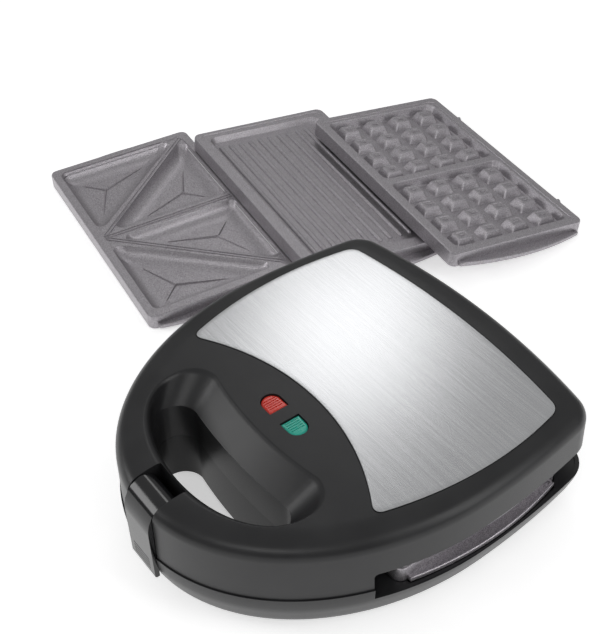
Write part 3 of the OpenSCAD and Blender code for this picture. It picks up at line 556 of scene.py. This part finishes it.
def lid_body():
    """The lid's housing, whose profile is pairs of inset from the outline and height."""
    shoulder_z = LID_TOP - 1 - SHOULDER
    profile = [(-0.6, LID_BOTTOM), (-0.45, LID_BOTTOM + 9), (-0.2, LID_BOTTOM + 20), (0, shoulder_z)]
    profile += rises(shoulder_z, shoulder_z + SHOULDER, 0, SHOULDER, 12, 8, 84)
    profile += [(11, LID_TOP - 0.55), (14, LID_TOP - 0.2), (18, LID_TOP)]
    lid = loft("lid_body", [at(outline(d), z) for d, z in profile])
    edge = [(GAP_Y, 20), (GAP_Y, LID_EDGE - 2.5), (GAP_Y + 0.7, LID_EDGE - 0.7), (GAP_Y + 2.5, LID_EDGE),
            (FAR, LID_EDGE), (FAR, 20)]
    carve(lid, [sideways("side_gap", edge, -FAR, FAR), scoop_tool(),
                prism("panel_seat", inset(PANEL, -PANEL_GAP), PANEL_Z, ABOVE)])
    carve(lid, [prism("lens_seat", lens_ring(s, LENS_GAP), LID_TOP - LENS_SEAT, ABOVE) for s in (-1, 1)])
    seat_top = LID_BOTTOM + SEAT_DEPTH
    below, window_top, ear_top = 30, 73, 54
    carve(lid, window_tools(below, window_top, below, ear_top)
          + [handle_recess(below, seat_top, WALL + 0.2, UPPER_COVER_BACK)])
    carve(lid, [box("slot", -NOTCH, NOTCH, -FAR, SLOT_BACK, 20, ABOVE),
                box("slide_seat", -SLIDE_HALF, SLIDE_HALF, SLIDE_FRONT, GAP_Y + 0.4, 36, seat_top)])
    knuckles = []
    for x0, x1 in both_sides(KNUCKLE_X0, KNUCKLE_X1):
        knuckles += [rod("knuckle", x0, x1, HINGE_Y, PIN_Z, KNUCKLE_R),
                     box("arm", x0, x1, ARM_Y0, ARM_Y1, PIN_Z, LID_EDGE + 10)]
    carve(lid, knuckles, "UNION")
    carve(lid, [rod("pin_bore", x0, x1, HINGE_Y, PIN_Z, PIN_R + 0.05)
                for x0, x1 in both_sides(KNUCKLE_X0 - 1, KNUCKLE_X1 + 0.2)])
    return clean(lid)


dress(lid_body(), BLACK, "lid", ["lid_housing"], bevel=0.35)


# Base
def base_body():
    """The base's housing; its hull is pairs of inset from the outline and height over the feet."""
    hull = [(12, 0), (10.4, 0.25), (9, 0.9), (7.6, 1.7), (6.4, 2.7), (5.2, 4.2), (4.1, 6.1), (2.9, 9.2),
            (1.8, 12.8), (0.6, 16.4), (-0.3, 19.4), (-1.05, 23), (-1.4, 28)]
    profile = [(d, BASE_Z + z) for d, z in hull] + [(-FLARE, PARTING)]
    base = loft("base_body", [at(outline(d), z) for d, z in profile])
    edge = [(GAP_Y, ABOVE), (GAP_Y, BASE_EDGE), (FAR, BASE_EDGE), (FAR, ABOVE)]
    loop = loft("loop", [at(opening(0, -2.5), 0), at(opening(0, -2.0), BASE_Z),
                         at(opening(0, 0), PARTING + 1), at(opening(0, 0.2), 60)])
    deck = prism("deck", outline(1.6), BASE_EDGE - 0.7, ABOVE)
    carve(deck, [box("front", -FAR, FAR, -FAR, GAP_Y, 0, ABOVE + 10)])
    carve(base, [sideways("side_gap", edge, -FAR, FAR), loop, deck])
    recess = handle_recess(0, LOWER_COVER_TOP, LOWER_COVER_INSET, LOWER_COVER_BACK)
    window_bottom = 11
    carve(base, window_tools(window_bottom, ABOVE, BASE_EDGE - 4, ABOVE) + [recess])
    carve(base, [box("catch", -NOTCH, NOTCH, -FAR, NOSE_Y + 1.4, 0, ABOVE),
                 box("slide_seat", -SLIDE_HALF, SLIDE_HALF, SLIDE_FRONT, -60, PARTING - SEAT_DEPTH, ABOVE)])
    added = []
    for x0, x1 in both_sides(LUG_X0, LUG_X1):
        added += [rod("lug", x0, x1, HINGE_Y, PIN_Z, KNUCKLE_R),
                  box("lug_foot", x0, x1, LUG_Y0, LUG_Y1, LUG_Z, PIN_Z)]
    added.append(box("boss", -BOSS_X, BOSS_X, BOSS_Y, BACK_Y + 0.4, GLAND_Z - BOSS_Z, GLAND_Z + BOSS_Z))
    carve(base, added, "UNION")
    carve(base, [rod("pin_bore", x0, x1, HINGE_Y, PIN_Z, PIN_R)
                 for x0, x1 in both_sides(LUG_X0 - 1, LUG_X1 + 1)])
    sockets = [prism("socket", [(x + a, y + b) for a, b in circle(FOOT_R)], 0, FOOT_SEAT) for x, y in FEET]
    gland = loft("gland", [[(a, y, GLAND_Z + b) for a, b in circle(GLAND_R)] for y in (85, 110)])
    carve(base, sockets + [gland])
    return clean(base)


dress(base_body(), BLACK, "base", ["base_housing"], bevel=0.35)

# Panel, lenses and clip
sheet_profile = [(0, PANEL_Z), (0, PANEL_TOP - 0.45), (0.13, PANEL_TOP - 0.13), (0.5, PANEL_TOP),
                 (3, PANEL_TOP)]
sheet = loft("panel_sheet", [at(inset(PANEL, d), z) for d, z in sheet_profile])
dress(sheet, STEEL, "lid", ["top_panel"], bevel=0)


def lens(name, side):
    """A domed lens with five fine grooves across it."""
    top = LID_TOP - 0.8
    dome = ((0, LID_TOP - LENS_DEPTH), (0, top - 1.0), (0.25, top - 0.4), (0.9, top - 0.05), (1.6, top))
    body = loft(name, [at(inset(lens_ring(side), d), z) for d, z in dome])
    reach, pitch, width = 4.6, 1.7, 0.7
    starts = [side * LENS_X - reach + k * pitch for k in range(5)]
    return carve(body, [box("groove", x, x + width, LENS_Y - reach, LENS_Y + reach, top - 0.45, top + 3)
                        for x in starts])


dress(lens("lens_red", -1), RED, "lid", ["red_lens"], bevel=0.12)
dress(lens("lens_green", 1), GREEN, "lid", ["green_lens"], bevel=0.12)


def clip():
    """The latch's clip from its lip and grip grooves up to the round that holds its pin."""
    front, back, foot, z = NOSE_Y - 2.5, NOSE_Y + 0.5, CLIP_FOOT, LATCH_Z
    round_r = 9
    top = [(LATCH_Y + round_r * math.cos(math.radians(a)), z + round_r * math.sin(math.radians(a)))
           for a in range(118, -61, -8)]
    profile = [(back, foot), (front + 0.8, foot), (front, foot + 1.2), (front, z - 9.9),
               (front + 0.3, z - 5.9), (front + 1.4, z - 1.4), (front + 3.6, z + 3.1),
               (front + 6.2, z + 6.1)] + top
    profile += [(LATCH_Y - 3, z - 8.5), (LATCH_Y - 7.5, z - 8.9), (LATCH_Y - 9.9, z - 10.3),
                (back, z - 13.9)]
    body = sideways("latch_body", profile, -CLIP_HALF, CLIP_HALF)
    lip_half, grip_half, grip_pitch, bore_half = CLIP_HALF - 3, 8.5, 2.6, 20
    carve(body, [box("lip", -lip_half, lip_half, front + 1, back + 0.6, foot, foot + 3)], "UNION")
    grip = [rod("groove", -grip_half, grip_half, front - 0.35, foot + 5 + k * grip_pitch, 0.8)
            for k in range(4)]
    return carve(body, [rod("bore", -bore_half, bore_half, LATCH_Y, LATCH_Z, LATCH_PIN_R)] + grip)


dress(clip(), GLOSS, "latch", ["latch_clip"], bevel=0.9, segments=3)


# Cooking plates
def plate_blank():
    """The casting in its own frame, with its rim at z = 0, a groove below and ears at both ends."""
    outer = rounded_rect(PLATE_L, PLATE_W, PLATE_R, 8)
    blank = loft("blank", [at(inset(outer, 1.0), -PLATE_D), at(inset(outer, 0.2), -PLATE_D + 0.8),
                           at(outer, -PLATE_D + 2), at(outer, -1.3), at(inset(outer, 0.35), -0.45),
                           at(inset(outer, 1.2), 0)])
    groove = prism("groove", rounded_rect(PLATE_L - 5, PLATE_W - 5, 3.5), -PLATE_D - 1, -3)
    carve(groove, [prism("core", rounded_rect(PLATE_L - 16, PLATE_W - 16, 6), -PLATE_D - 2, -2)])
    carve(blank, [groove])
    lower, upper = -EAR_DROP - EAR_T, -EAR_DROP + 1
    face_ring = [(max(x, PLATE_L / 2 + 0.01), y) for x, y in ear_ring(-1.6)]
    for turn in (list, flipped):
        ear = loft("ear", [at(turn(ear_ring(0)), lower), at(turn(ear_ring(0)), upper - 0.4),
                           at(turn(ear_ring(-0.4)), upper)])
        carve(ear, [prism("face", turn(face_ring), -EAR_DROP, 2)])
        carve(blank, [ear], "UNION")
    return blank


def stepped(name, c, l, w, steps, n=8):
    """A block round plan point c from steps of inset, corner radius and height."""
    return loft(name, [at([(x + c[0], y + c[1]) for x, y in rounded_rect(l - 2 * d, w - 2 * d, r, n)], z)
                       for d, r, z in steps])


def triangle_ring(tri, d, r, z):
    """A triangle d inside tri with corners of radius r, and the middle of tri."""
    a, b, c = (Vector(p) for p in tri)
    la, lb, lc = (b - c).length, (c - a).length, (a - b).length
    centre = (a * la + b * lb + c * lc) / (la + lb + lc)
    area = abs((b - a).cross(c - a))
    inner = area / (la + lb + lc)
    k = 1 - (d + r) / inner
    n = 8
    ring = []
    for i in range(3):
        p, before, after = (a, b, c)[i], (a, b, c)[i - 1], (a, b, c)[(i + 1) % 3]
        q, s = (p - before).normalized(), (after - p).normalized()
        a0, a1 = math.atan2(-q.x, q.y), math.atan2(-s.x, s.y)
        sweep = (a1 - a0) % (2 * math.pi)
        for j in range(n + 1):
            w = a0 + sweep * j / n
            point = centre + (p - centre) * k + Vector((math.cos(w), math.sin(w))) * r
            ring.append((point.x, point.y, z))
    return ring, centre


def square_triangles():
    """The four triangles of the sandwich pattern, each running anticlockwise."""
    l, w, m = PLATE_L / 2 - 4, PLATE_W / 2 - 4, 2.0
    far = [[(l, w), (m, -w), (l, -w)], [(l, w), (m, w), (m, -w)]]
    tris = far + [[(-x, y) for x, y in t] for t in far]
    out = []
    for t in tris:
        a, b, c = (Vector(p) for p in t)
        out.append(t if (b - a).cross(c - a) > 0 else list(reversed(t)))
    return out


POCKET = 9.4
LAND = 0.8


def pocket(tri):
    """A triangular pocket from steps of inset, corner radius and height."""
    steps = [(2.6, 6.0, 1.0), (2.6, 6.0, -LAND + 0.02), (2.75, 5.9, -LAND - 0.35), (3.15, 5.6, -1.7),
             (3.7, 5.2, -2.8), (4.5, 4.8, -4.2), (5.6, 4.4, -5.7), (7.0, 4.0, -7.0), (8.9, 3.4, -8.1),
             (11.4, 2.8, -8.9), (14.5, 2.2, -9.3), (17.5, 1.6, -POCKET)]
    return loft("pocket", [triangle_ring(tri, d, r, z)[0] for d, r, z in steps])


def crease(tri):
    """Three thin arms from the middle of a pocket towards its corners."""
    centre = triangle_ring(tri, 3, 3, 0)[1]
    arms = []
    base = -POCKET - 0.5
    for p in tri:
        v = Vector(p) - centre
        u = v.normalized()
        side = Vector((-u.y, u.x))
        reach = v.length * 0.44
        rings = []
        for along, half, height in ((-0.4, 0.9, 1.5), (reach * 0.35, 0.8, 1.3),
                                    (reach * 0.75, 0.5, 0.95), (reach, 0.12, 0.5)):
            middle = centre + u * along
            section = [(-half, base), (half, base), (half, -POCKET + 0.05), (0.15, -POCKET + height),
                       (-0.15, -POCKET + height), (-half, -POCKET + 0.05)]
            rings.append([(*(middle + side * across_arm), z) for across_arm, z in section])
        arms.append(loft("arm", rings))
    return arms


def bar(name, a, b, half, z0, z1):
    """A bar with sloping sides between two plan points."""
    u = (b - a).normalized()
    side = Vector((-u.y, u.x))
    wide = half * 1.5
    return loft(name, [[(*(p - side * wide), z0), (*(p + side * wide), z0),
                        (*(p + side * half), z1), (*(p - side * half), z1)] for p in (a, b)])


def sandwich_plate():
    """Four pockets below a sunken land, with a double ridge along each dividing line."""
    plate = plate_blank()
    tris = square_triangles()
    land = stepped("land", (0, 0), PLATE_L - 14, PLATE_W - 14, ((0, 5, 2), (0, 5, -0.1), (0.35, 5, -LAND)))
    carve(plate, [land, joined("pockets", [pocket(t) for t in tris])])
    l, w = PLATE_L / 2 - 7.2, PLATE_W / 2 - 7.2
    ridges = []
    for line in (((l, w), (0.6, -w)), ((-0.6, -w), (-l, w)), ((0, -w), (0, w))):
        a, b = (Vector(p) for p in line)
        u = (b - a).normalized()
        side = Vector((-u.y, u.x)) * 1.35
        ridges += [bar("ridge", a + side * s, b + side * s, 0.35, -LAND - 0.1, -0.12) for s in (-1, 1)]
    arms = [arm for t in tris for arm in crease(t)]
    return joined("plate", [plate] + ridges + arms)


RIBS = 11
RIB_Z = -5.0


def grill_plate():
    """A tray with round ribs along it; the tray's steps are inset, corner radius and height."""
    plate = plate_blank()
    hollow = ((-0.8, 6.5, 1.0), (-0.8, 6.5, 0.0), (-0.25, 6.2, -0.2), (0.2, 6, -0.8), (2.8, 4.6, -4.4),
              (3.3, 4.4, -4.8), (4.2, 4, RIB_Z))
    rim = ((0, 5, 1), (0, 5, -0.05), (0.4, 5, -0.55))
    carve(plate, [stepped("step", (0, 0), PLATE_L - 9, PLATE_W - 9, rim),
                  stepped("tray", (0, 0), PLATE_L - 20, PLATE_W - 20, hollow),
                  prism("relief", rounded_rect(PLATE_L - 22, PLATE_W - 22, 6), -PLATE_D - 1, -7.5)])
    pitch = (PLATE_W - 24) / RIBS
    half_l = (PLATE_L - 44) / 2
    rounding = ((1.9, 0.15), (1.6, 1.0), (0.8, 1.65), (-0.2, 1.9))
    stations = [(-half_l - out, r) for out, r in rounding]
    stations += [(half_l + out, r) for out, r in reversed(rounding)]
    ribs = []
    for i in range(RIBS):
        y = (i - (RIBS - 1) / 2) * pitch
        ribs.append(loft("rib", [[(x, y + r * math.cos(a), RIB_Z + r * math.sin(a))
                                  for a in np.linspace(-0.3, math.pi + 0.3, 12)] for x, r in stations]))
    return joined("plate", [plate] + ribs)


def peg(c):
    """A waffle peg with a dish in its top, and the small nub in that dish."""
    l, w = 15.6, 17.6
    slope = ((-0.6, 1.4, -8.6), (-0.6, 1.4, -7.9), (0, 1.2, -7.3), (2.5, 1.2, -1.9), (2.8, 1.1, -1.5),
             (3.3, 0.9, -1.25))
    face = stepped("peg", c, l, w, slope, 3)
    carve(face, [stepped("dish", c, l, w, ((4.2, 0.8, -0.5), (4.2, 0.8, -1.2), (4.9, 0.8, -1.9)), 3)])
    nub = stepped("nub", c, 2.4, 4.2, ((0, 0.5, -2.1), (0.1, 0.5, -1.3), (0.45, 0.5, -1.0)), 2)
    return [face, nub]


def waffle_plate():
    """Two square fields of pegs beside a dividing wall."""
    plate = plate_blank()
    margin, divider, rows, edge = 9.0, 7.0, 4, 3
    l = (PLATE_L - 2 * margin - divider) / 2
    w = PLATE_W - 2 * margin
    middles = [s * (l + divider) / 2 for s in (-1, 1)]
    rim = ((0, 4, 1), (0, 4, -0.2), (0.3, 4, -0.8))
    hollow = ((-0.5, 6.2, 1.0), (-0.5, 6.2, -0.78), (-0.1, 6, -1.0), (0.25, 5.8, -1.6), (2.3, 5, -7.2),
              (2.9, 4.6, -7.8), (3.6, 4, -8.0))
    carve(plate, [stepped("step", (0, 0), PLATE_L - 12, PLATE_W - 12, rim)]
          + [stepped("tray", (cx, 0), l, w, hollow) for cx in middles])
    places = [i - (rows - 1) / 2 for i in range(rows)]
    parts = [part for cx in middles for i in places for j in places
             for part in peg((cx + i * (l - edge) / rows, j * (w - edge) / rows))]
    return joined("plate", [plate] + parts)


def move(obj, name, matrix):
    """Takes a plate from its own frame to where it lies, both in millimetres."""
    scale, unscale = Matrix.Scale(MM, 4), Matrix.Scale(1 / MM, 4)
    shift = Matrix.Translation(BENCH)
    obj.data.transform(scale @ shift @ matrix @ shift.inverted() @ unscale)
    if matrix.determinant() < 0:
        obj.data.flip_normals()
    obj.name = name
    return obj


# The loose plates lie turned by FAN, each with its edge on the one before it
FAN = math.radians(-8)
GRILL_LAP, WAFFLE_LAP, REST_GAP = 7, 28, 0.3


def turned(x, y):
    """A plan step turned by FAN."""
    return Vector((x * math.cos(FAN) - y * math.sin(FAN), x * math.sin(FAN) + y * math.cos(FAN)))


grill_tilt = math.asin((PLATE_D + REST_GAP) / (PLATE_W - GRILL_LAP))
waffle_tilt = math.asin((PLATE_D * math.cos(grill_tilt) + REST_GAP) / (PLATE_W - WAFFLE_LAP))
sandwich_c = Vector((-283.0, 28.0))
grill_c = sandwich_c + turned(30, PLATE_W - GRILL_LAP)
waffle_c = grill_c + turned(37, PLATE_W - WAFFLE_LAP)


def lying(c, tilt):
    """Where a loose plate lies, tilted about its far edge, which stays on the table."""
    edge = Matrix.Translation((0, PLATE_W / 2, 0))
    rim = Matrix.Translation((0, -PLATE_W / 2, PLATE_D))
    return (Matrix.Translation((c.x, c.y, 0)) @ Matrix.Rotation(FAN, 4, "Z") @ edge
            @ Matrix.Rotation(-tilt, 4, "X") @ rim)


installed = Matrix.Translation((0, 0, PLATE_RIM))
flip = Matrix.Translation((0, 0, 2 * MIRROR_Z)) @ Matrix.Scale(-1, 4, (0, 0, 1))
PLATES = [
    (sandwich_plate, "plate_lower", installed, "base", "lower_plate"),
    (sandwich_plate, "plate_upper", flip @ installed, "lid", "upper_plate"),
    (sandwich_plate, "plate_loose_sandwich", lying(sandwich_c, 0), "spare_sandwich", "spare_sandwich_plate"),
    (grill_plate, "plate_loose_grill", lying(grill_c, grill_tilt), "spare_grill", "spare_grill_plate"),
    (waffle_plate, "plate_loose_waffle", lying(waffle_c, waffle_tilt), "spare_waffle", "spare_waffle_plate"),
]
for build, name, matrix, body, node in PLATES:
    dress(move(build(), name, matrix), COATING, body, [node], bevel=0.3, angle=40)


# Studio
def appliance(x, y, z):
    """A point of the appliance's own frame, in the scene's metres."""
    return (Vector((x, y, z)) + BENCH) * MM


FLOOR_HALF = 6000.0
floor_corners = [(x * FLOOR_HALF, y * FLOOR_HALF, 0) for x, y in ((-1, -1), (1, -1), (1, 1), (-1, 1))]
floor = new_object("floor", floor_corners, [(0, 1, 2, 3)])
floor.data.materials.append(FLOOR)

# The camera as it was fitted to the body in the photo
EYE = (399.4, -331.0, 589.1)
FORWARD = Vector((-0.6056, 0.4288, -0.6704)).normalized()
RIGHT = Vector((0.5779, 0.8161, 0)).normalized()
ROLL = math.radians(-2.1)
FOCAL_PX, FRAME_PX, SENSOR = 1200, 634, 36
up = RIGHT.cross(FORWARD)
right = RIGHT * math.cos(ROLL) + up * math.sin(ROLL)
up = right.cross(FORWARD)
camera = bpy.data.objects.new("camera", bpy.data.cameras.new("camera"))
bpy.context.scene.collection.objects.link(camera)
turn = Matrix((right, up, -FORWARD)).transposed().to_4x4()
camera.matrix_world = Matrix.Translation(appliance(*EYE)) @ turn
camera.data.sensor_width = SENSOR
camera.data.lens = FOCAL_PX / FRAME_PX * SENSOR
camera.data.clip_start = 0.01
bpy.context.scene.camera = camera


def softbox(name, position, target, size, power):
    """A white rectangular light, sized in metres, that faces its target."""
    light = bpy.data.lights.new(name, "AREA")
    light.shape = "RECTANGLE"
    light.size, light.size_y = size
    light.energy = power
    obj = bpy.data.objects.new(name, light)
    bpy.context.scene.collection.objects.link(obj)
    place = appliance(*position)
    obj.location = place
    obj.rotation_euler = (appliance(*target) - place).to_track_quat("-Z", "Y").to_euler()


softbox("key", (-1010, 780, 1230), (-10, 0, 80), (0.36, 0.36), 1.0)
softbox("right_back", (1100, 500, 800), (60, 0, 60), (0.5, 1.2), 5)
softbox("shoulder", (640, -960, 1210), (60, -80, 60), (0.9, 0.4), 3.0)
softbox("scoop", (-915, -1050, 640), (0, -90, 65), (0.6, 0.5), 4)

# A world that grows brighter from the horizon up
world = bpy.data.worlds.new("studio")
world.use_nodes = True
bpy.context.scene.world = world
nodes, links = world.node_tree.nodes, world.node_tree.links
background = nodes["Background"]
background.inputs["Strength"].default_value = 0.5
sky = nodes.new("ShaderNodeTexCoord")
split = nodes.new("ShaderNodeSeparateXYZ")
fade = nodes.new("ShaderNodeValToRGB")
fade.color_ramp.elements[0].position = 0.0
fade.color_ramp.elements[0].color = (0.35, 0.35, 0.35, 1)
fade.color_ramp.elements[1].position = 0.65
fade.color_ramp.elements[1].color = (1, 1, 1, 1)
links.new(sky.outputs["Generated"], split.inputs["Vector"])
links.new(split.outputs["Z"], fade.inputs["Fac"])
links.new(fade.outputs["Color"], background.inputs["Color"])
bpy.context.scene.view_settings.view_transform = "Standard"
